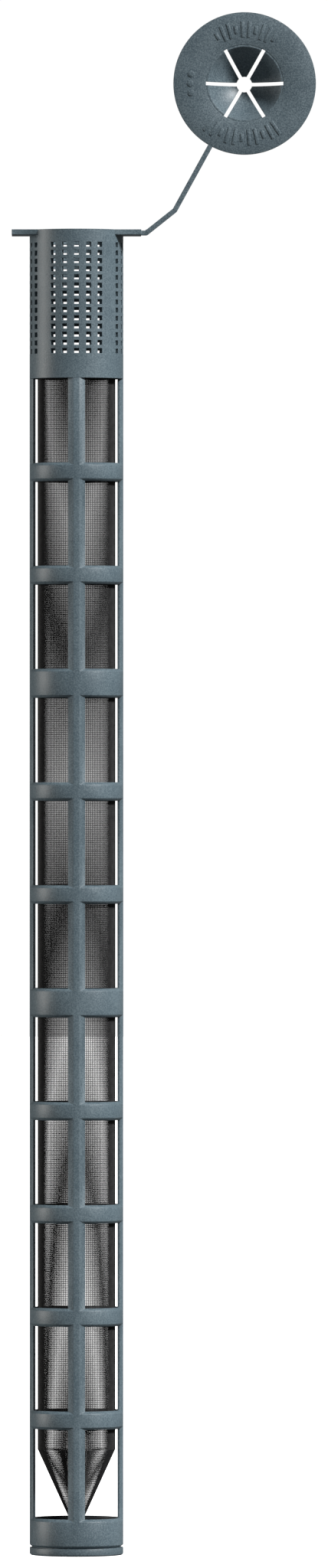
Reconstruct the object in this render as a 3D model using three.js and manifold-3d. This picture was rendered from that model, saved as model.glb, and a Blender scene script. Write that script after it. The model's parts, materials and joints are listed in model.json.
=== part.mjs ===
// Screen tube with a tethered centring cap, for a resin-bonded threaded rod in hollow masonry.
// Millimetres. +Z runs along the tube and out of its mouth. The origin is on the tube's axis, in the plane
// of the ears' undersides, which rest on the wall. The cap hangs on its strap to +X and faces -Y.
import * as THREE from 'three';
import { mergeGeometries, mergeVertices } from 'three/addons/utils/BufferGeometryUtils.js';
import Module from 'manifold-3d';

const wasm = await Module();
wasm.setup();

// Driving dimensions of the tube
const tubeRadius = 8.97;
const wall = 0.97;
const collarLength = 28.5;
const windowHeight = 16.18;
const lastWindowHeight = 17.1;
const thinRing = 3.55;
const thickRing = 5.55;
const footRingLength = 5.5;
const bevel = 0.5;
const footBevel = 0.4;
const reach = 1.5; // how far a cutter runs past what it cuts

// Driving dimensions of the ears and of the collar's holes
const earSpan = 24.8;
const earWidth = 10.4;
const earThickness = 1;
const holeRows = 14;
const holePitch = 1.565;
const holeWidth = 0.97;
const holeHeight = 0.92;
const firstHoleDrop = 2.97; // from the mouth to the first row's centre

// Driving dimensions of the mesh and the end plug
const meshRadius = 7.36;
const meshWall = 0.3;
const hemRadius = 7.7;
const coneAngle = THREE.MathUtils.degToRad(24.3);
const meshTipRadius = 1;
const grooveRadius = 8.41;
const grooveHeight = 0.15;
const plugDisc = 1.45;
const plugBossHeight = 1.2;
const plugPostRadius = 2.2;
const clearance = 0.3;

// Driving dimensions of the strap and the cap
const strapThickness = 0.95;
const strapRootReach = 0.96; // from the ear's end to the first bend
const lowerStrap = { length: 7, angle: THREE.MathUtils.degToRad(38.5) };
const upperStrap = { length: 14.08, angle: THREE.MathUtils.degToRad(61.2) };
const neckLength = 2.1;
const foldPlace = 3.98; // from the kink between the two runs to the place where the strap folds back flat
const tipGap = 0.15; // from a link's end to the bend it turns about
const bendTaper = 0.6; // length of a pointed end
const capRadius = 13.69;
const capHoleRadius = 7.42;
const capThickness = 1;
const petalCount = 6;
const petalRootRadius = 7.05;
const petalTipRadius = 1.48;
const petalSlot = 0.71;
const petalThickness = 0.7;
const funnelStart = 0.3; // height of the petals' roots over the middle of the cap's thickness
const funnelDepth = 4.9;

// Levels and radii worked out from the driving dimensions
const boreRadius = tubeRadius - wall;
const mouth = earThickness;
const collarEnd = mouth - collarLength;
const rings = [thinRing, thinRing, thickRing, thinRing, thinRing, thickRing, thinRing, thinRing, thinRing, thinRing];
const windows = [];
let level = collarEnd;
for (const ring of rings) {
  windows.push({ top: level, bottom: level - windowHeight });
  level -= windowHeight + ring;
}
windows.push({ top: level, bottom: level - lastWindowHeight });
const footTop = level - lastWindowHeight;
const footEnd = footTop - footRingLength;
const end = footEnd - grooveHeight - plugDisc;
const thickRingMiddle = (windowAbove) => windows[windowAbove].bottom - thickRing / 2;
const upperSplit = thickRingMiddle(2);
const lowerSplit = thickRingMiddle(5);

// The window's outline beside a rib: a flat land, then a shallow flank out to the rib's narrow crown
const landAngle = THREE.MathUtils.degToRad(11.1);
const crownAngle = THREE.MathUtils.degToRad(3.6);
const landRadius = tubeRadius - bevel;

const collarSides = 48;
const cageSides = 32;
const meshSides = 32;
const capSides = 48;

const plastic = new THREE.MeshStandardMaterial({ color: 0x5f6d75, roughness: 0.75, metalness: 0 });
const mesh = new THREE.MeshStandardMaterial({ color: 0x1b1c1e, roughness: 0.8, metalness: 0 });
const capPlastic = new THREE.MeshStandardMaterial({ color: 0x5b6a72, roughness: 0.75, metalness: 0 });

function solid(geometry) {
  const bare = new THREE.BufferGeometry();
  bare.setAttribute('position', geometry.getAttribute('position'));
  if (geometry.index) {
    bare.setIndex(geometry.index);
  }
  const merged = mergeVertices(bare, 1e-4);
  const shape = new wasm.Mesh({
    numProp: 3,
    vertProperties: Float32Array.from(merged.getAttribute('position').array),
    triVerts: Uint32Array.from(merged.index.array),
  });
  return new wasm.Manifold(shape);
}

function geometryOf(manifold) {
  const shape = manifold.getMesh();
  const geometry = new THREE.BufferGeometry();
  geometry.setAttribute('position', new THREE.BufferAttribute(Float32Array.from(shape.vertProperties), 3));
  geometry.setIndex(new THREE.BufferAttribute(Uint32Array.from(shape.triVerts), 1));
  geometry.computeVertexNormals();
  return geometry;
}

function named(name, geometry, material) {
  const piece = new THREE.Mesh(geometry, material);
  piece.name = name;
  return piece;
}

// A turned shape about Z. The profile is a list of [radius, height], anticlockwise with the radius to the right.
function turned(profile, sides) {
  const points = profile.map(([radius, height]) => new THREE.Vector2(radius, height));
  points.push(points[0].clone());
  return new THREE.LatheGeometry(points, sides, Math.PI / sides).rotateX(Math.PI / 2);
}

function sleeve(inner, outer, bottom, top, sides) {
  return turned([[inner, bottom], [outer, bottom], [outer, top], [inner, top]], sides);
}

function prism(outline, bottom, top) {
  const shape = new THREE.Shape(outline.map(([x, y]) => new THREE.Vector2(x, y)));
  const geometry = new THREE.ExtrudeGeometry(shape, { depth: top - bottom, bevelEnabled: false });
  return geometry.translate(0, 0, bottom);
}

function polar(radius, angle) {
  return [radius * Math.cos(angle), radius * Math.sin(angle)];
}

// One quarter of the cage's openings, seen along Z, between the rib at +X and the rib at +Y
function windowQuarter() {
  const inner = polar(boreRadius - reach, landAngle);
  const landEdge = polar(landRadius, landAngle);
  const crownEdge = polar(tubeRadius, crownAngle);
  const flankEnd = [0, 1].map((i) => landEdge[i] + 1.5 * (crownEdge[i] - landEdge[i]));
  const corner = tubeRadius + 2 * reach;
  const mirrored = (point) => [point[1], point[0]];
  return [inner, landEdge, flankEnd, [corner, corner], mirrored(flankEnd), mirrored(landEdge), mirrored(inner)];
}

function windowCutter(top, bottom) {
  const profile = [
    [boreRadius - reach, bottom],
    [landRadius, bottom],
    [landRadius + reach, bottom - reach],
    [landRadius + reach, top + reach],
    [landRadius, top],
    [boreRadius - reach, top],
  ];
  return solid(turned(profile, cageSides));
}

// A length of the cage between two levels, cut by the windows that lie in it
function cageLength(blank, firstWindow, lastWindow) {
  const quarters = [];
  for (let quarter = 0; quarter < 4; quarter++) {
    const outline = prism(windowQuarter(), end, mouth);
    quarters.push(outline.rotateZ((quarter * Math.PI) / 2));
  }
  const openings = solid(mergeGeometries(quarters));
  let cage = solid(blank);
  for (let i = firstWindow; i <= lastWindow; i++) {
    const top = i === 0 ? windows[i].top + 2 * reach : windows[i].top;
    cage = cage.subtract(windowCutter(top, windows[i].bottom).intersect(openings));
  }
  return geometryOf(cage);
}

function upperCage() {
  return cageLength(sleeve(boreRadius, tubeRadius, upperSplit, collarEnd, cageSides), 0, 2);
}

function middleCage() {
  return cageLength(sleeve(boreRadius, tubeRadius, lowerSplit, upperSplit, cageSides), 3, 5);
}

function lowerCage() {
  const profile = [
    [boreRadius, footEnd],
    [tubeRadius - bevel, footEnd],
    [tubeRadius, footEnd + footBevel],
    [tubeRadius, lowerSplit],
    [boreRadius, lowerSplit],
  ];
  return cageLength(turned(profile, cageSides), 6, 10);
}

// Fourteen rows of square holes in every 15 degree column, apart from the four columns on the diagonals
function collarHoles() {
  const holes = [];
  const columnStep = Math.PI / 12;
  for (let column = 0; column < 24; column++) {
    if (column % 6 === 3) {
      continue;
    }
    for (let row = 0; row < holeRows; row++) {
      const hole = new THREE.BoxGeometry(2 * reach, holeWidth, holeHeight);
      hole.translate(tubeRadius, 0, mouth - firstHoleDrop - row * holePitch);
      holes.push(hole.rotateZ(column * columnStep));
    }
  }
  return solid(mergeGeometries(holes));
}

// The plain ledge inside the collar that the mesh's top edge is welded to
const ledgeTop = mouth - firstHoleDrop - (holeRows - 1) * holePitch - holeHeight;
const ledgeBottom = ledgeTop - 1;

function collar() {
  const tube = solid(turned([
    [boreRadius, collarEnd],
    [tubeRadius, collarEnd],
    [tubeRadius, mouth],
    [boreRadius, mouth],
    [boreRadius, ledgeTop],
    [meshRadius, ledgeTop],
    [meshRadius, ledgeBottom],
    [boreRadius, ledgeBottom],
  ], collarSides));
  const slab = new THREE.BoxGeometry(earSpan, earWidth, earThickness);
  const ears = solid(slab.translate(0, 0, earThickness / 2));
  const stubStart = tubeRadius + reach;
  const stubLength = earSpan / 2 + strapRootReach - tipGap - stubStart;
  const stub = new THREE.BoxGeometry(stubLength, strapThickness, strapThickness);
  stub.translate(stubStart + stubLength / 2, 0, strapThickness / 2);
  const middleRadius = (boreRadius + tubeRadius) / 2;
  const bore = solid(sleeve(0, middleRadius, -reach, mouth + reach, collarSides));
  const wings = ears.subtract(bore).add(solid(stub));
  return geometryOf(tube.add(wings).subtract(collarHoles()));
}

// The woven mesh as one thin tube: hemmed under the collar's ledge, and drawn in to a closed cone at the foot
const coneTop = end + 20.25;
const coneEnd = coneTop - (meshRadius - meshTipRadius) / Math.tan(coneAngle);

function meshSleeve() {
  const inner = meshRadius - meshWall;
  const floor = coneEnd + meshWall / Math.sin(coneAngle);
  const hemEnd = collarEnd + 1;
  return turned([
    [0, coneEnd],
    [meshTipRadius, coneEnd],
    [meshRadius, coneTop],
    [meshRadius, hemEnd],
    [hemRadius, hemEnd],
    [hemRadius, ledgeBottom],
    [inner, ledgeBottom],
    [inner, coneTop],
    [0, floor],
  ], meshSides);
}

// The plug that closes the foot: a disc, a groove, a low boss, and a post with a socket for the mesh's tip
function endPlug() {
  const bossRadius = boreRadius - clearance;
  const bossTop = footEnd + plugBossHeight;
  const postTop = coneEnd + 1.5 * clearance;
  const socketRadius = meshTipRadius + 2 * clearance;
  const socketFloor = coneEnd - clearance;
  const corner = 0.3;
  return turned([
    [0, end],
    [tubeRadius - corner, end],
    [tubeRadius, end + corner],
    [tubeRadius, end + plugDisc],
    [grooveRadius, end + plugDisc],
    [grooveRadius, footEnd],
    [bossRadius, footEnd],
    [bossRadius, bossTop],
    [plugPostRadius, bossTop],
    [plugPostRadius, postTop],
    [socketRadius, postTop],
    [socketRadius, socketFloor],
    [0, socketFloor],
  ], meshSides);
}

// The strap's first link along X: pointed at its first bend, kinked between its two runs, and cut square where
// the strap folds back
function kinkedLink() {
  const half = strapThickness / 2;
  const turn = upperStrap.angle - lowerStrap.angle;
  const mitre = half * Math.tan(turn / 2);
  const along = new THREE.Vector2(Math.cos(turn), Math.sin(turn)).multiplyScalar(foldPlace - tipGap);
  const across = new THREE.Vector2(-Math.sin(turn), Math.cos(turn)).multiplyScalar(half);
  return prism([
    [tipGap, 0],
    [tipGap + bendTaper, -half],
    [lowerStrap.length + mitre, -half],
    [lowerStrap.length + along.x - across.x, along.y - across.y],
    [lowerStrap.length + along.x + across.x, along.y + across.y],
    [lowerStrap.length - mitre, half],
    [tipGap + bendTaper, half],
  ], -half, half);
}

// The length that folds back, cut square at the fold and pointed at the neck's bend
function returnLink(length) {
  const half = strapThickness / 2;
  const shoulder = length - tipGap - bendTaper;
  return prism([
    [tipGap, -half],
    [shoulder, -half],
    [length - tipGap, 0],
    [shoulder, half],
    [tipGap, half],
  ], -half, half);
}

// The neck, pointed at its bend and cut square a clearance short of the cap's rim
function neckLink() {
  const half = strapThickness / 2;
  const finish = neckLength - clearance;
  return prism([
    [tipGap, 0],
    [tipGap + bendTaper, -half],
    [finish, -half],
    [finish, half],
    [tipGap + bendTaper, half],
  ], -half, half);
}

// A group whose X runs along the strap and whose Z faces -Y, as the cap's face does
function alongStrap(place, angle) {
  const group = new THREE.Group();
  group.position.set(place.x, 0, place.y);
  const along = new THREE.Vector3(Math.cos(angle), 0, Math.sin(angle));
  const facing = new THREE.Vector3(0, -1, 0);
  const across = new THREE.Vector3().crossVectors(facing, along);
  group.setRotationFromMatrix(new THREE.Matrix4().makeBasis(along, across, facing));
  return group;
}

function capRing() {
  return sleeve(capHoleRadius, capRadius, -capThickness / 2, capThickness / 2, capSides);
}

// The funnel that the petals are cut from, opening towards the cap's face
function funnel() {
  const slope = Math.atan2(funnelDepth, petalRootRadius - petalTipRadius);
  const drop = petalThickness / Math.cos(slope);
  const tip = funnelStart - funnelDepth;
  return turned([
    [petalTipRadius, tip - drop],
    [petalRootRadius, funnelStart - drop],
    [petalRootRadius, funnelStart],
    [petalTipRadius, tip],
  ], capSides);
}

// One of the six petals between two slots of even width
function petal(index) {
  const halfAngle = Math.PI / petalCount;
  const apex = petalSlot / 2 / Math.sin(halfAngle);
  const side = capRadius;
  const far = apex + side * Math.cos(halfAngle);
  const wedge = prism([
    [apex, 0],
    [far, -side * Math.sin(halfAngle)],
    [far, side * Math.sin(halfAngle)],
  ], -2 * funnelDepth, capThickness);
  const turn = (2 * index + 1) * halfAngle;
  return geometryOf(solid(funnel()).intersect(solid(wedge.rotateZ(turn))));
}

const group = new THREE.Group();
group.add(
  named('perforated_collar', collar(), plastic),
  named('upper_cage', upperCage(), plastic),
  named('middle_cage', middleCage(), plastic),
  named('lower_cage', lowerCage(), plastic),
  named('mesh_sleeve', meshSleeve(), mesh),
  named('end_plug', endPlug(), plastic),
);

// A point so far along a strap run from where it starts
function further(from, run, distance) {
  const step = new THREE.Vector2(Math.cos(run.angle), Math.sin(run.angle)).multiplyScalar(distance);
  return from.clone().add(step);
}

const rootBend = new THREE.Vector2(earSpan / 2 + strapRootReach, strapThickness / 2);
const kink = further(rootBend, lowerStrap, lowerStrap.length);
const fold = further(kink, upperStrap, foldPlace);
const neckBend = further(kink, upperStrap, upperStrap.length - neckLength);
const links = [
  { name: 'strap_link_1', start: rootBend, run: lowerStrap, shape: kinkedLink() },
  { name: 'strap_link_2', start: fold, run: upperStrap, shape: returnLink(fold.distanceTo(neckBend)) },
  { name: 'strap_neck', start: neckBend, run: upperStrap, shape: neckLink() },
];
for (const { name, start, run, shape } of links) {
  const place = alongStrap(start, run.angle);
  place.add(named(name, shape, capPlastic));
  group.add(place);
}

const capCentre = further(kink, upperStrap, upperStrap.length + capRadius);
const cap = alongStrap(capCentre, 0);
cap.add(named('cap_ring', capRing(), capPlastic));
for (let index = 0; index < petalCount; index++) {
  cap.add(named(`petal_${index + 1}`, petal(index), capPlastic));
}
group.add(cap);

export default group;
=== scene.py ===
"""A screen tube with a tethered centring cap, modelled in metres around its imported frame.

+Z runs along the tube and out of its mouth, and the cap hangs to +X and faces -Y.
"""
import json
import math

import bpy
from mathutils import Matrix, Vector


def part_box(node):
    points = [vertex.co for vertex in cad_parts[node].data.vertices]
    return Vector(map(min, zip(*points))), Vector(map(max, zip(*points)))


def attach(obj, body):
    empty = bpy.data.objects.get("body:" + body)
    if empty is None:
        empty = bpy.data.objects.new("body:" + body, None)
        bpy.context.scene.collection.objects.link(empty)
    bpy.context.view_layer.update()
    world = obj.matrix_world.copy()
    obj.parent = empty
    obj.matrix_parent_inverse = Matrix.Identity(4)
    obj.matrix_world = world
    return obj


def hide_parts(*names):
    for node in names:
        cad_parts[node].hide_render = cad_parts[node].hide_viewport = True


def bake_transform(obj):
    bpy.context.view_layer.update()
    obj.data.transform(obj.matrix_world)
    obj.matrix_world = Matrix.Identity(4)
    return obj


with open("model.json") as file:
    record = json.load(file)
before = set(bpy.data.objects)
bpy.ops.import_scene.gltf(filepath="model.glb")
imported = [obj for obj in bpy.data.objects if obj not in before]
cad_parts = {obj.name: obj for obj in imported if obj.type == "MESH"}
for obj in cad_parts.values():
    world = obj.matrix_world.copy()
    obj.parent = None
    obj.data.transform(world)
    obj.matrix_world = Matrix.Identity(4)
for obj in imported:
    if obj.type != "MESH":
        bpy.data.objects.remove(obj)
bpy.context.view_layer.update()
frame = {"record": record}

MM = 0.001
AXIS = Vector((0, 0, 1))

# Tolerances
CLOSE = 0.01 * MM
CUT_TOLERANCE = 0.0005 * MM
MERGE_DISTANCE = 0.0002 * MM
TURN_TOLERANCE = 0.001

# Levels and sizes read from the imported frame
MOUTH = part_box("perforated_collar")[1][2]
COLLAR_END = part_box("perforated_collar")[0][2]
FOOT_RING_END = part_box("lower_cage")[0][2]
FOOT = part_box("end_plug")[0][2]
EAR_REACH = -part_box("perforated_collar")[0][0]
MESH_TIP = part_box("mesh_sleeve")[0][2]
CAP_LOW, CAP_HIGH = (Vector(corner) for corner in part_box("cap_ring"))
CAP_CENTRE = (CAP_LOW + CAP_HIGH) / 2
JOINTS = {joint["name"]: joint for joint in frame["record"]["behaviour"]["joints"]}

# The moulding
TUBE_RADIUS = 8.97 * MM
BORE_RADIUS = 8 * MM
BEVEL = 0.5 * MM
WINDOW = 16.18 * MM
LAST_WINDOW = 17.1 * MM
THIN_RING = 3.55 * MM
THICK_RING = 5.55 * MM
RINGS = [THIN_RING, THIN_RING, THICK_RING, THIN_RING, THIN_RING, THICK_RING] + 4 * [THIN_RING]
# Half angles of a rib, to its windows and to the mitres on its crown
LAND_ANGLE = math.radians(11.1)
CROWN_ANGLE = math.radians(3.6)
# The radius that the bevels fall to
LAND_RADIUS = TUBE_RADIUS - BEVEL
FOOT_BEVEL_HEIGHT = 0.4 * MM
EAR_HALF_WIDTH = 5.2 * MM
SOFT_EDGE = 0.05 * MM

# The collar's holes
HOLE_ROWS = 14
HOLE_PITCH = 1.565 * MM
HOLE_WIDTH = 0.97 * MM
HOLE_HEIGHT = 0.92 * MM
FIRST_HOLE_DROP = 2.97 * MM
HOLE_COLUMNS = 24
PLAIN_COLUMNS = (3, 9, 15, 21)

# The woven mesh and the plug
MESH_RADIUS = 7.36 * MM
MESH_TIP_RADIUS = 1 * MM
MESH_PITCH = 0.2495 * MM
THREAD = 0.14 * MM
WARP_STRANDS = 186
HOOP_STEPS = 32
CONE_ANGLE = math.radians(24.3)
CONE_TOP = MESH_TIP + (MESH_RADIUS - MESH_TIP_RADIUS) / math.tan(CONE_ANGLE)
LEDGE_TOP = MOUTH - FIRST_HOLE_DROP - (HOLE_ROWS - 1) * HOLE_PITCH - HOLE_HEIGHT
LEDGE_DEPTH = 1 * MM

# The strap, straightened out along X from its first bend
STRAP = 0.95 * MM
STRAP_EDGE = 0.09 * MM
STRAP_CUT_SPACING = 0.22 * MM
LOWER_RUN = 7 * MM
LOWER_ANGLE = math.radians(38.5)
ROOT_BEND = Vector(JOINTS["strap_root_bend"]["pos_m"])
NECK_BEND = Vector(JOINTS["strap_neck_bend"]["pos_m"])
RIM = Vector(JOINTS["cap_turn"]["pos_m"])
LOWER = Vector((math.cos(LOWER_ANGLE), 0, math.sin(LOWER_ANGLE)))
KINK = ROOT_BEND + LOWER * LOWER_RUN
UPPER = (RIM - KINK).normalized()
FOLD = KINK + UPPER * (Vector(JOINTS["strap_fold_bend"]["pos_m"]) - KINK).dot(UPPER)

# The cap
CAP_RADIUS = (CAP_HIGH.x - CAP_LOW.x) / 2
CAP_THICKNESS = CAP_HIGH.y - CAP_LOW.y
CAP_HOLE = 7.42 * MM
PETALS = 6
PETAL_SLOT = 0.71 * MM
PETAL_TIP_RADIUS = 1.48 * MM
PETAL_THICKNESS = 0.7 * MM
PETAL_ROOT_RADIUS = 7.05 * MM
PETAL_ROOT_DEPTH = -0.42 * MM
PETAL_DEPTH = 5.02 * MM
PETAL_LAP = 0.08 * MM
MARK_RADIUS = 10.4 * MM
MARK_LENGTH = 3.1 * MM
MARK_WIDTH = 0.62 * MM
MARK_RELIEF = 0.13 * MM


# ---------------------------------------------------------------------------
# Modelling by hand


def deselect():
    if bpy.context.mode != "OBJECT":
        bpy.ops.object.mode_set(mode="OBJECT")
    bpy.ops.object.select_all(action="DESELECT")


def named(name):
    piece = bpy.context.active_object
    piece.name = name
    piece.data.name = name
    return piece


def edit(kind="VERT"):
    if bpy.context.mode != "EDIT_MESH":
        bpy.ops.object.mode_set(mode="EDIT")
    bpy.ops.mesh.select_mode(type=kind)


def pick(piece, kind, test):
    """Selects only what passes a test on a vertex's place, an edge's two ends, or a face."""
    edit(kind)
    bpy.ops.mesh.select_all(action="DESELECT")
    bpy.ops.object.mode_set(mode="OBJECT")
    points = piece.data.vertices
    if kind == "VERT":
        for vertex in points:
            vertex.select = test(vertex.co)
    elif kind == "EDGE":
        for line in piece.data.edges:
            first, second = (points[i].co for i in line.vertices)
            line.select = test(first, second)
    else:
        for face in piece.data.polygons:
            face.select = test(face)
    edit(kind)


def draw_line(name, points):
    """A line through the points, drawn by extruding one point."""
    deselect()
    bpy.ops.mesh.primitive_plane_add(size=MM, location=points[0])
    piece = named(name)
    bpy.ops.object.transform_apply(location=True, rotation=True, scale=True)
    edit()
    bpy.ops.mesh.select_all(action="SELECT")
    bpy.ops.mesh.merge(type="CENTER")
    for here, there in zip(points, points[1:]):
        step = Vector(there) - Vector(here)
        bpy.ops.mesh.extrude_region_move(TRANSFORM_OT_translate={"value": step})
    bpy.ops.mesh.select_all(action="SELECT")
    return piece


def spin(angle, steps, centre=(0, 0, 0), axis=(0, 0, 1)):
    bpy.ops.mesh.spin(steps=steps, angle=angle, center=centre, axis=axis)


def clean():
    """Merges doubles and turns the faces outwards."""
    bpy.ops.mesh.select_all(action="SELECT")
    bpy.ops.mesh.remove_doubles(threshold=MERGE_DISTANCE)
    bpy.ops.mesh.normals_make_consistent(inside=False)


def apply_modifier(piece, kind, settings):
    deselect()
    bpy.context.view_layer.objects.active = piece
    piece.select_set(True)
    modifier = piece.modifiers.new(kind.title(), kind)
    for setting, value in settings.items():
        setattr(modifier, setting, value)
    bpy.ops.object.modifier_apply(modifier=modifier.name)


def soften(piece, width=SOFT_EDGE, segments=2, smooth=30):
    """Rounds the sharp edges a little and shades the rest smooth."""
    settings = {
        "width": width,
        "segments": segments,
        "limit_method": "ANGLE",
        "angle_limit": math.radians(28),
        "use_clamp_overlap": True,
    }
    apply_modifier(piece, "BEVEL", settings)
    bpy.ops.object.shade_smooth_by_angle(angle=math.radians(smooth))


def turned(name, profile, steps=96):
    """A shape turned about Z from a profile of (radius, height), closed on itself or on the axis."""
    piece = draw_line(name, [Vector((radius, 0, height)) for radius, height in profile])
    spin(math.tau, steps)
    clean()
    bpy.ops.object.mode_set(mode="OBJECT")
    return piece


def place_on(piece, body, slot, *nodes):
    deselect()
    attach(piece, body)
    if nodes:
        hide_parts(*nodes)


# ---------------------------------------------------------------------------
# Finishes


class Value:
    """A shader socket whose arithmetic adds Math nodes."""

    def __init__(self, finish, socket):
        self.finish = finish
        self.socket = socket

    def join(self, operation, first, second):
        node = self.finish.node("ShaderNodeMath", {"operation": operation}, {0: first, 1: second})
        return Value(self.finish, node.outputs["Value"])

    def __add__(self, other):
        return self.join("ADD", self, other)

    def __sub__(self, other):
        return self.join("SUBTRACT", self, other)

    def __rsub__(self, other):
        return self.join("SUBTRACT", other, self)

    def __mul__(self, other):
        return self.join("MULTIPLY", self, other)

    __radd__ = __add__
    __rmul__ = __mul__


class Finish:
    """A material with a Principled shader, and the nodes that feed it."""

    def __init__(self, name, constants):
        self.material = bpy.data.materials.new(name)
        self.material.use_nodes = True
        self.tree = self.material.node_tree
        self.shader = self.tree.nodes["Principled BSDF"]
        for socket, value in constants.items():
            self.shader.inputs[socket].default_value = value

    def node(self, kind, settings, inputs):
        node = self.tree.nodes.new(kind)
        for setting, value in settings.items():
            if setting == "stops":
                for element, (position, colour) in zip(node.color_ramp.elements, value):
                    element.position = position
                    element.color = colour
            else:
                setattr(node, setting, value)
        for socket, value in inputs.items():
            self.feed(node.inputs[socket], value)
        return node

    def feed(self, socket, value):
        if isinstance(value, Value):
            self.tree.links.new(value.socket, socket)
        else:
            socket.default_value = value

    def out(self, node, socket):
        return Value(self, node.outputs[socket])

    def noise(self, scale, detail, roughness=0.5):
        place = self.out(self.node("ShaderNodeTexCoord", {}, {}), "Object")
        inputs = {"Vector": place, "Scale": scale, "Detail": detail, "Roughness": roughness}
        return self.out(self.node("ShaderNodeTexNoise", {}, inputs), "Fac")

    def ramp(self, value, stops):
        return self.out(self.node("ShaderNodeValToRGB", {"stops": stops}, {"Fac": value}), "Color")

    def bump(self, height, distance, strength):
        inputs = {"Height": height, "Distance": distance, "Strength": strength}
        self.feed(self.shader.inputs["Normal"], self.out(self.node("ShaderNodeBump", {}, inputs), "Normal"))

    def colour(self, value):
        self.feed(self.shader.inputs["Base Color"], value)


def grained_plastic(name, dark, light, roughness):
    """Matte polypropylene: a fine spark-eroded grain, with pale specks and a faint cloudiness."""
    finish = Finish(name, {"IOR": 1.5})
    grain = finish.noise(3600, 3, 0.65)
    clouds = finish.noise(160, 2)
    mixed = grain * 0.8 + clouds * 0.2
    finish.colour(finish.ramp(mixed, [(0.4, (*dark, 1)), (0.63, (*light, 1))]))
    finish.feed(finish.shader.inputs["Roughness"], roughness + (grain - 0.5) * 0.25)
    finish.bump(grain, 0.06 * MM, 0.5)
    return finish.material


def woven_thread(name):
    """Black monofilament with a slight sheen and dusty paler stretches."""
    finish = Finish(name, {"IOR": 1.45, "Specular IOR Level": 0.5})
    dust = finish.noise(900, 2)
    finish.colour(finish.ramp(dust, [(0.35, (0.006, 0.006, 0.0065, 1)), (0.7, (0.018, 0.018, 0.019, 1))]))
    finish.feed(finish.shader.inputs["Roughness"], 0.42 + dust * 0.2)
    return finish.material


def paint(piece, material):
    piece.data.materials.clear()
    piece.data.materials.append(material)


# Nearly black grey for the cage's inner walls: painted shade, standing in for the shadow inside the bore
# under each ring.
painted_shade_grey = grained_plastic("painted_shade_grey", (0.010, 0.014, 0.017), (0.020, 0.026, 0.030), 0.6)
moulded_grey = grained_plastic("moulded_grey", (0.077, 0.112, 0.134), (0.148, 0.198, 0.224), 0.44)
cap_grey = grained_plastic("cap_grey", (0.068, 0.099, 0.119), (0.160, 0.208, 0.233), 0.44)
plug_grey = grained_plastic("plug_grey", (0.066, 0.094, 0.112), (0.122, 0.164, 0.186), 0.44)
mesh_black = woven_thread("mesh_black")


# ---------------------------------------------------------------------------
# The moulding


def offset_from(angle, step):
    """How far an angle is from the nearest multiple of a step."""
    return abs((angle + step / 2) % step - step / 2)


def angle_of(point):
    return math.atan2(point.y, point.x)


def radius_of(point):
    return math.hypot(point.x, point.y)


def spun_wall(name, levels, angles):
    """The moulding's outer skin: a line with a point at each level, spun from each angle to the next."""
    start = Vector((TUBE_RADIUS * math.cos(angles[0]), TUBE_RADIUS * math.sin(angles[0]), 0))
    piece = draw_line(name, [start + AXIS * level for level in levels])
    for here, there in zip(angles, angles[1:] + [angles[0] + math.tau]):
        spin(there - here, 1)
    clean()
    return piece


def give_wall():
    """Thickens the selected outer skin inwards to the bore."""
    bpy.ops.mesh.select_all(action="SELECT")
    bpy.ops.mesh.extrude_region_move()
    shrink(BORE_RADIUS / TUBE_RADIUS)
    bpy.ops.mesh.select_all(action="SELECT")
    bpy.ops.mesh.normals_make_consistent(inside=False)


def shrink(share):
    """Draws the selection in towards the tube's axis."""
    bpy.ops.transform.resize(value=(share, share, 1), center_override=(0, 0, 0))


def on_skin(point):
    return radius_of(point) > TUBE_RADIUS - CLOSE


def near(first, second):
    return abs(first - second) < CLOSE


def windows():
    """Each window's top and bottom level, from the collar down to the foot ring."""
    spans = []
    level = COLLAR_END
    for height, ring in zip([WINDOW] * len(RINGS) + [LAST_WINDOW], RINGS + [0]):
        spans.append((level, level - height))
        level -= height + ring
    return spans


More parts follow.
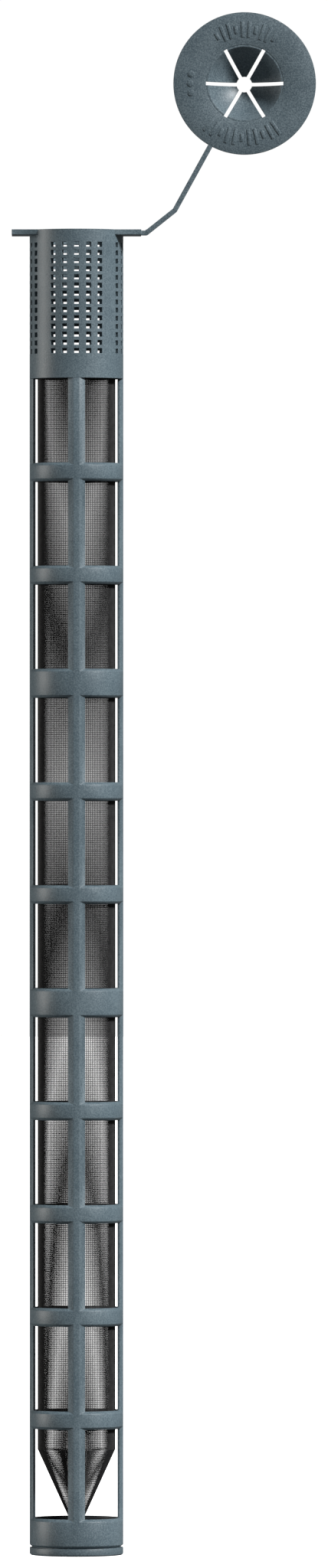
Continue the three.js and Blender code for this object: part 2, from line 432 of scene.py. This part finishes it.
def ribbed_cage():
    spans = windows()
    levels = []
    for top, bottom in spans:
        if top < COLLAR_END:
            levels.append(top + BEVEL)
        levels += [top, bottom, bottom - BEVEL]
    levels += [FOOT_RING_END + FOOT_BEVEL_HEIGHT, FOOT_RING_END]
    quarter = math.pi / 2
    open_steps = 14
    open_angle = (quarter - 2 * LAND_ANGLE) / open_steps
    angles = []
    for rib in range(4):
        middle = rib * quarter
        angles += [middle, middle + CROWN_ANGLE]
        angles += [middle + LAND_ANGLE + step * open_angle for step in range(open_steps + 1)]
        angles.append(middle + quarter - CROWN_ANGLE)
    cage = spun_wall("ribbed_cage", levels, angles)

    def in_window(face):
        inside = any(bottom < face.center.z < top for top, bottom in spans)
        return inside and offset_from(angle_of(face.center), quarter) > LAND_ANGLE

    pick(cage, "FACE", in_window)
    bpy.ops.mesh.delete(type="FACE")
    give_wall()
    ends = [level for span in spans for level in span]

    def on_bevel_edge(point):
        at_end = any(near(point.z, level) for level in ends)
        beside_window = offset_from(angle_of(point), quarter) > LAND_ANGLE - TURN_TOLERANCE
        return on_skin(point) and at_end and beside_window

    pick(cage, "VERT", on_bevel_edge)
    shrink(LAND_RADIUS / TUBE_RADIUS)
    pick(cage, "VERT", lambda point: on_skin(point) and near(point.z, FOOT_RING_END))
    shrink(LAND_RADIUS / TUBE_RADIUS)

    def at_mitre(point):
        offset = offset_from(angle_of(point), quarter)
        outer = [top + BEVEL for top, _ in spans if top < COLLAR_END]
        outer += [bottom - BEVEL for _, bottom in spans]
        if on_skin(point):
            at_level = any(near(point.z, level) for level in outer)
            return abs(offset - CROWN_ANGLE) < TURN_TOLERANCE and at_level
        clear_of_bore = radius_of(point) > BORE_RADIUS + 10 * CLOSE
        return clear_of_bore and abs(offset - LAND_ANGLE) < TURN_TOLERANCE

    pick(cage, "VERT", at_mitre)
    bpy.ops.mesh.vert_connect()
    bpy.ops.object.mode_set(mode="OBJECT")
    soften(cage)
    paint(cage, moulded_grey)
    # The bore's wall faces get the nearly black grey: painted shade under each ring, where the inside of the
    # tube lies in shadow.
    cage.data.materials.append(painted_shade_grey)
    for face in cage.data.polygons:
        inside = radius_of(face.center) < BORE_RADIUS + CLOSE and abs(face.normal.z) < 0.5
        face.material_index = 1 if inside else 0
    place_on(cage, "root", "moulded_grey", "upper_cage", "middle_cage", "lower_cage")


def hole_levels():
    rows = []
    for row in range(HOLE_ROWS):
        middle = MOUTH - FIRST_HOLE_DROP - row * HOLE_PITCH
        rows += [middle + HOLE_HEIGHT / 2, middle - HOLE_HEIGHT / 2]
    return rows


def moulded_collar():
    column_step = math.tau / HOLE_COLUMNS
    half_hole = math.asin(HOLE_WIDTH / 2 / TUBE_RADIUS)
    ear_angle = math.asin(EAR_HALF_WIDTH / TUBE_RADIUS)
    angles = [side + turn for side in (0, math.pi) for turn in (-ear_angle, ear_angle)]
    for column in range(HOLE_COLUMNS):
        middle = column * column_step
        angles += [middle - half_hole, middle, middle + half_hole, middle + column_step / 2]
    angles = sorted(angle % math.tau for angle in angles)
    rows = hole_levels()
    body = spun_wall("moulded_collar", [MOUTH, 0, *rows, COLLAR_END], angles)

    def is_hole(face):
        column = round((angle_of(face.center) % math.tau) / column_step) % HOLE_COLUMNS
        in_column = offset_from(angle_of(face.center), column_step) < half_hole
        in_row = any(low < face.center.z < high for high, low in zip(rows[::2], rows[1::2]))
        return column not in PLAIN_COLUMNS and in_column and in_row

    pick(body, "FACE", is_hole)
    bpy.ops.mesh.delete(type="FACE")
    give_wall()
    for side in (-1, 1):
        def is_ear_root(face, side=side):
            sideways = face.center.x * side > abs(face.center.y) * 0.9
            outward = radius_of(face.center) > LAND_RADIUS and abs(face.normal.z) < 0.5
            return 0 < face.center.z < MOUTH and sideways and outward and abs(face.center.y) < EAR_HALF_WIDTH

        pick(body, "FACE", is_ear_root)
        bpy.ops.mesh.extrude_region_move()
        bpy.ops.transform.resize(value=(0, 1, 1), center_override=(side * EAR_REACH, 0, 0))
    bpy.ops.object.mode_set(mode="OBJECT")
    soften(body, segments=1)
    paint(body, moulded_grey)
    place_on(body, "root", "moulded_grey", "perforated_collar")


def mesh_ledge():
    inner = MESH_RADIUS + THREAD
    outer = BORE_RADIUS + 0.1 * MM
    low = LEDGE_TOP - LEDGE_DEPTH
    corners = [(inner, low), (outer, low), (outer, LEDGE_TOP), (inner, LEDGE_TOP), (inner, low)]
    ledge = turned("mesh_ledge", corners)
    soften(ledge)
    paint(ledge, moulded_grey)
    place_on(ledge, "root", "moulded_grey")


def foot_plug():
    top = FOOT_RING_END
    disc = 1.45 * MM
    corner = 0.25 * MM
    groove = 8.3 * MM
    boss = BORE_RADIUS - 0.3 * MM
    boss_top = top + 1.2 * MM
    post = 2.2 * MM
    post_top = MESH_TIP + 0.45 * MM
    socket = 1.6 * MM
    socket_floor = MESH_TIP - 0.3 * MM
    outline = [
        (0, FOOT),
        (TUBE_RADIUS - corner, FOOT),
        (TUBE_RADIUS, FOOT + corner),
        (TUBE_RADIUS, FOOT + disc),
        (groove, FOOT + disc),
        (groove, top),
        (boss, top),
        (boss, boss_top),
        (post, boss_top),
        (post, post_top),
        (socket, post_top),
        (socket, socket_floor),
        (0, socket_floor),
    ]
    plug = turned("foot_plug", outline)
    soften(plug)
    paint(plug, plug_grey)
    place_on(plug, "root", "plug_grey", "end_plug")


# ---------------------------------------------------------------------------
# The woven mesh


def warp_strands():
    """Straight strands down the sleeve, drawn in together on the cone."""
    top = LEDGE_TOP - 0.1 * MM
    deselect()
    bpy.ops.mesh.primitive_circle_add(vertices=4, radius=THREAD / 2, location=(MESH_RADIUS, 0, top))
    strands = named("warp_strands")
    bpy.ops.object.transform_apply(location=True, rotation=True, scale=True)
    edit()
    bpy.ops.mesh.select_all(action="SELECT")
    bpy.ops.mesh.edge_face_add()
    bpy.ops.mesh.extrude_region_move(TRANSFORM_OT_translate={"value": (0, 0, CONE_TOP - top)})
    bpy.ops.mesh.extrude_region_move(TRANSFORM_OT_translate={"value": (0, 0, MESH_TIP - CONE_TOP)})
    shrink(MESH_TIP_RADIUS / MESH_RADIUS)
    bpy.ops.mesh.select_all(action="SELECT")
    bpy.ops.mesh.normals_make_consistent(inside=False)
    bpy.ops.mesh.spin(
        steps=WARP_STRANDS - 1,
        angle=math.tau * (WARP_STRANDS - 1) / WARP_STRANDS,
        dupli=True,
        center=(0, 0, 0),
        axis=(0, 0, 1),
    )
    bpy.ops.object.mode_set(mode="OBJECT")
    paint(strands, mesh_black)
    place_on(strands, "root", "woven_mesh", "mesh_sleeve")


def add_thread_section(radius, height):
    bpy.ops.mesh.primitive_circle_add(
        vertices=3, radius=THREAD * 0.55, location=(radius, 0, height), rotation=(math.pi / 2, 0, 0)
    )


def weft_hoops(name, top, bottom):
    """Level hoops, one pitch apart, from one level down to another."""
    deselect()
    add_thread_section(MESH_RADIUS, top)
    hoops = named(name)
    bpy.ops.object.transform_apply(location=True, rotation=True, scale=True)
    edit()
    bpy.ops.mesh.select_all(action="SELECT")
    spin(math.tau, HOOP_STEPS)
    clean()
    settings = {
        "count": round((top - bottom) / MESH_PITCH),
        "use_relative_offset": False,
        "use_constant_offset": True,
        "constant_offset_displace": (0, 0, -MESH_PITCH),
    }
    apply_modifier(hoops, "ARRAY", settings)
    paint(hoops, mesh_black)
    place_on(hoops, "root", "woven_mesh")


def cone_hoops():
    deselect()
    count = round((CONE_TOP - MESH_TIP) / MESH_PITCH)
    add_thread_section(MESH_RADIUS, CONE_TOP)
    hoops = named("cone_hoops")
    bpy.ops.object.transform_apply(location=True, rotation=True, scale=True)
    edit()
    for number in range(1, count):
        drop = number * MESH_PITCH
        add_thread_section(MESH_RADIUS - drop * math.tan(CONE_ANGLE), CONE_TOP - drop)
    bpy.ops.mesh.select_all(action="SELECT")
    spin(math.tau, HOOP_STEPS)
    clean()
    bpy.ops.object.mode_set(mode="OBJECT")
    paint(hoops, mesh_black)
    place_on(hoops, "root", "woven_mesh")


def woven_mesh():
    warp_strands()
    top = LEDGE_TOP - LEDGE_DEPTH
    count = round((top - CONE_TOP) / MESH_PITCH)
    per_third = count // 3
    for part, name in enumerate(("weft_hoops_upper", "weft_hoops_middle", "weft_hoops_lower")):
        start = CONE_TOP + (count - part * per_third) * MESH_PITCH
        stop = CONE_TOP if part == 2 else start - per_third * MESH_PITCH
        weft_hoops(name, start, stop)
    cone_hoops()


# ---------------------------------------------------------------------------
# The strap


def turn_up(angle, centre):
    """Turns the selection from +X towards +Z about a point."""
    bpy.ops.transform.rotate(value=angle, orient_axis="Y", orient_type="GLOBAL", center_override=centre)


def strap_piece(name, start, end):
    """A length of the strap between two distances from its first bend, bent to follow the strap's path."""
    straight_kink = ROOT_BEND + Vector((LOWER_RUN, 0, 0))
    second_turn = math.atan2(UPPER.z, UPPER.x) - LOWER_ANGLE
    deselect()
    middle = ROOT_BEND + Vector(((start + end) / 2, 0, 0))
    bpy.ops.mesh.primitive_cube_add(size=1, location=middle, scale=(end - start, STRAP, STRAP))
    piece = named(name)
    bpy.ops.object.transform_apply(location=True, rotation=True, scale=True)
    pick(piece, "EDGE", lambda first, second: abs(first.x - second.x) > STRAP / 10)
    bpy.ops.mesh.bevel(offset=STRAP_EDGE, segments=2, affect="EDGES")
    stations = [place for place in (0, LOWER_RUN) if start < place < end]
    count = max(4, round((end - start) / STRAP_CUT_SPACING))
    stations += [start + (end - start) * number / count for number in range(1, count)]
    for station in stations:
        bpy.ops.mesh.select_all(action="SELECT")
        cut = (ROOT_BEND.x + station, 0, 0)
        bpy.ops.mesh.bisect(plane_co=cut, plane_no=(1, 0, 0), threshold=CUT_TOLERANCE)
    for bend, angle in ((straight_kink, second_turn), (ROOT_BEND, LOWER_ANGLE)):
        pick(piece, "VERT", lambda point, bend=bend: point.x > bend.x + CLOSE)
        turn_up(angle, bend)
        pick(piece, "VERT", lambda point, bend=bend: near(point.x, bend.x))
        turn_up(angle / 2, bend)
    bpy.ops.object.mode_set(mode="OBJECT")
    bpy.ops.object.shade_smooth_by_angle(angle=math.radians(30))
    paint(piece, cap_grey)
    deselect()
    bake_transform(piece)
    return piece


def strap():
    fold = LOWER_RUN + (FOLD - KINK).length
    neck = LOWER_RUN + (NECK_BEND - KINK).length
    rim = LOWER_RUN + (RIM - KINK).length
    embed = 0.25 * MM
    first_joint = LOWER_RUN / 2
    second_joint = (fold + neck) / 2
    third_joint = neck + 0.55 * MM
    root = strap_piece(
        "strap_root",
        EAR_REACH - ROOT_BEND.x - embed,
        first_joint,
    )
    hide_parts("strap_link_1")
    folded = strap_piece(
        "strap_fold",
        first_joint,
        second_joint,
    )
    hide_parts("strap_link_2")
    end = strap_piece(
        "strap_end",
        second_joint,
        third_joint,
    )
    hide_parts("strap_neck")
    strap_piece(
        "strap_twist",
        third_joint,
        rim + embed,
    )


# ---------------------------------------------------------------------------
# The cap


def around_cap(radius, angle, depth=0.0):
    """A point at a radius and angle on the cap, seen from its face, and a depth behind the ring's middle."""
    return CAP_CENTRE + Vector((radius * math.cos(angle), depth, radius * math.sin(angle)))


def cap_ring():
    deselect()
    bpy.ops.mesh.primitive_cylinder_add(
        vertices=144,
        radius=CAP_RADIUS,
        depth=CAP_THICKNESS,
        location=CAP_CENTRE,
        rotation=(math.pi / 2, 0, 0),
    )
    ring = named("cap_ring_disc")
    bpy.ops.object.transform_apply(location=True, rotation=True, scale=True)
    pick(ring, "FACE", lambda face: abs(face.normal.y) > 0.9)
    bpy.ops.mesh.inset(thickness=CAP_RADIUS - CAP_HOLE, depth=0)
    bpy.ops.mesh.bridge_edge_loops()
    clean()
    bpy.ops.object.mode_set(mode="OBJECT")
    soften(ring, width=0.08 * MM)
    paint(ring, cap_grey)
    place_on(ring, "cap", "cap_grey", "cap_ring")


def add_pip(turn):
    """A round pip on the cap's face, a turn away from its left side."""
    bpy.ops.mesh.primitive_cylinder_add(
        vertices=24,
        radius=MARK_WIDTH,
        depth=2 * MARK_RELIEF,
        location=around_cap(MARK_RADIUS, math.pi + math.radians(turn), -CAP_THICKNESS / 2),
        rotation=(math.pi / 2, 0, 0),
    )


def raised_marks():
    """Plain raised bars in two arcs, and three pips."""
    upper_start, upper_step = 57, 7
    lower_start, lower_step = 229, 7.6
    upper = [upper_start + upper_step * number for number in range(10)]
    lower = [lower_start + lower_step * number for number in range(11)]
    face = -CAP_THICKNESS / 2
    deselect()
    add_pip(0)
    marks = named("cap_marks")
    bpy.ops.object.transform_apply(location=True, rotation=True, scale=True)
    edit()
    for turn in (-10, 10):
        add_pip(turn)
    for number, degrees in enumerate(upper + lower):
        length = MARK_LENGTH if number % 3 else MARK_LENGTH / 2
        angle = math.radians(degrees)
        bpy.ops.mesh.primitive_cube_add(
            size=1,
            location=around_cap(MARK_RADIUS, angle, face),
            rotation=(0, -angle, 0),
            scale=(length, 2 * MARK_RELIEF, MARK_WIDTH),
        )
    bpy.ops.object.mode_set(mode="OBJECT")
    soften(marks, width=0.1 * MM)
    paint(marks, cap_grey)
    place_on(marks, "cap", "cap_grey")


def petal_profile(angle):
    """The petal's front line from its root to its tip, steep at the root and flatter towards the tip."""
    root = Vector((PETAL_ROOT_RADIUS, PETAL_ROOT_DEPTH))
    tip = Vector((PETAL_TIP_RADIUS, PETAL_ROOT_DEPTH + PETAL_DEPTH))
    chord = tip - root
    slope = math.atan2(chord.y, -chord.x)
    turning = math.radians(34)
    radius = chord.length / 2 / math.sin(turning / 2)
    steps = 8
    points = [Vector((CAP_HOLE + PETAL_LAP, PETAL_ROOT_DEPTH)), root]
    place = root
    piece = 2 * radius * math.sin(turning / steps / 2)
    for step in range(steps):
        heading = slope + turning / 2 - turning * (step + 0.5) / steps
        place = place + Vector((-math.cos(heading), math.sin(heading))) * piece
        points.append(place)
    return [around_cap(point.x, angle, point.y) for point in points]


def petal(number):
    step = math.tau / PETALS
    start = (number - 1) * step
    name = f"petal_{number}"
    piece = draw_line(f"{name}_leaf", petal_profile(start))
    spin(step, 18, centre=CAP_CENTRE, axis=(0, 1, 0))
    clean()
    bpy.ops.object.mode_set(mode="OBJECT")
    if sum(face.normal.y * face.area for face in piece.data.polygons) > 0:
        edit()
        bpy.ops.mesh.select_all(action="SELECT")
        bpy.ops.mesh.flip_normals()
        bpy.ops.object.mode_set(mode="OBJECT")
    apply_modifier(piece, "SOLIDIFY", {"thickness": PETAL_THICKNESS, "offset": -1, "use_even_offset": True})
    middle = start + step / 2
    edit()
    for side in (-1, 1):
        edge = middle + side * step / 2
        across = Vector((-math.sin(edge), 0, math.cos(edge))) * side
        slot_side = CAP_CENTRE - across * PETAL_SLOT / 2
        bpy.ops.mesh.select_all(action="SELECT")
        cut = {"plane_co": slot_side, "plane_no": across, "threshold": CUT_TOLERANCE}
        bpy.ops.mesh.bisect(use_fill=True, clear_outer=True, **cut)
    bpy.ops.object.mode_set(mode="OBJECT")
    soften(piece)
    paint(piece, cap_grey)
    deselect()
    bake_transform(piece)
    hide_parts(name)


# ---------------------------------------------------------------------------
# Camera, light and stage


def camera():
    distance = 2.832
    height = -0.1042
    sight = Vector((0.01677, 0, -0.1052))
    bpy.ops.object.camera_add(location=(0, -distance, height))
    view = bpy.context.active_object
    view.rotation_mode = "QUATERNION"
    view.rotation_quaternion = (sight - view.location).to_track_quat("-Z", "Y")
    field = 0.30075
    view.data.sensor_width = 36
    view.data.lens = view.data.sensor_width * distance / field
    view.data.clip_end = 100
    bpy.context.scene.camera = view


def sun(name, toward, strength, softness, colour=(1, 1, 1)):
    """A distant soft light that shines from a direction."""
    bpy.ops.object.light_add(type="SUN")
    light = bpy.context.active_object
    light.name = name
    light.rotation_mode = "QUATERNION"
    light.rotation_quaternion = Vector(toward).to_track_quat("Z", "Y")
    light.data.energy = strength
    light.data.angle = math.radians(softness)
    light.data.color = colour


def surroundings():
    """White all round to the eye, and a dim even light on matte surfaces."""
    world = bpy.data.worlds.new("surroundings")
    bpy.context.scene.world = world
    world.use_nodes = True
    tree = world.node_tree
    background = tree.nodes["Background"]
    background.inputs["Color"].default_value = (1, 1, 1, 1)
    path = tree.nodes.new("ShaderNodeLightPath")
    level = tree.nodes.new("ShaderNodeMapRange")
    fill = 0.12
    white = 1.02
    level.inputs["To Min"].default_value = fill
    level.inputs["To Max"].default_value = white
    tree.links.new(path.outputs["Is Camera Ray"], level.inputs["Value"])
    tree.links.new(level.outputs["Result"], background.inputs["Strength"])


def floor():
    """A plain pale floor well below the foot."""
    drop = 0.25
    deselect()
    bpy.ops.mesh.primitive_plane_add(size=40, location=(0, 0, FOOT - drop))
    ground = named("floor")
    pale = Finish("pale_floor", {"Base Color": (0.9, 0.9, 0.9, 1), "Roughness": 1.0})
    pale.shader.inputs["Emission Color"].default_value = (1, 1, 1, 1)
    pale.shader.inputs["Emission Strength"].default_value = 1.0
    paint(ground, pale.material)
    ground.visible_diffuse = False
    ground.visible_glossy = False
    ground.visible_shadow = False


def main():
    bpy.context.scene.view_settings.view_transform = "Standard"
    camera()
    sun("key", (0.67, -0.48, 0.60), 4.6, 12)
    sun("left_side", (-1, -0.03, 0.1), 1.5, 26, (1, 0.97, 0.93))
    surroundings()
    floor()
    ribbed_cage()
    moulded_collar()
    mesh_ledge()
    foot_plug()
    woven_mesh()
    strap()
    cap_ring()
    raised_marks()
    for number in range(1, PETALS + 1):
        petal(number)
    deselect()


main()
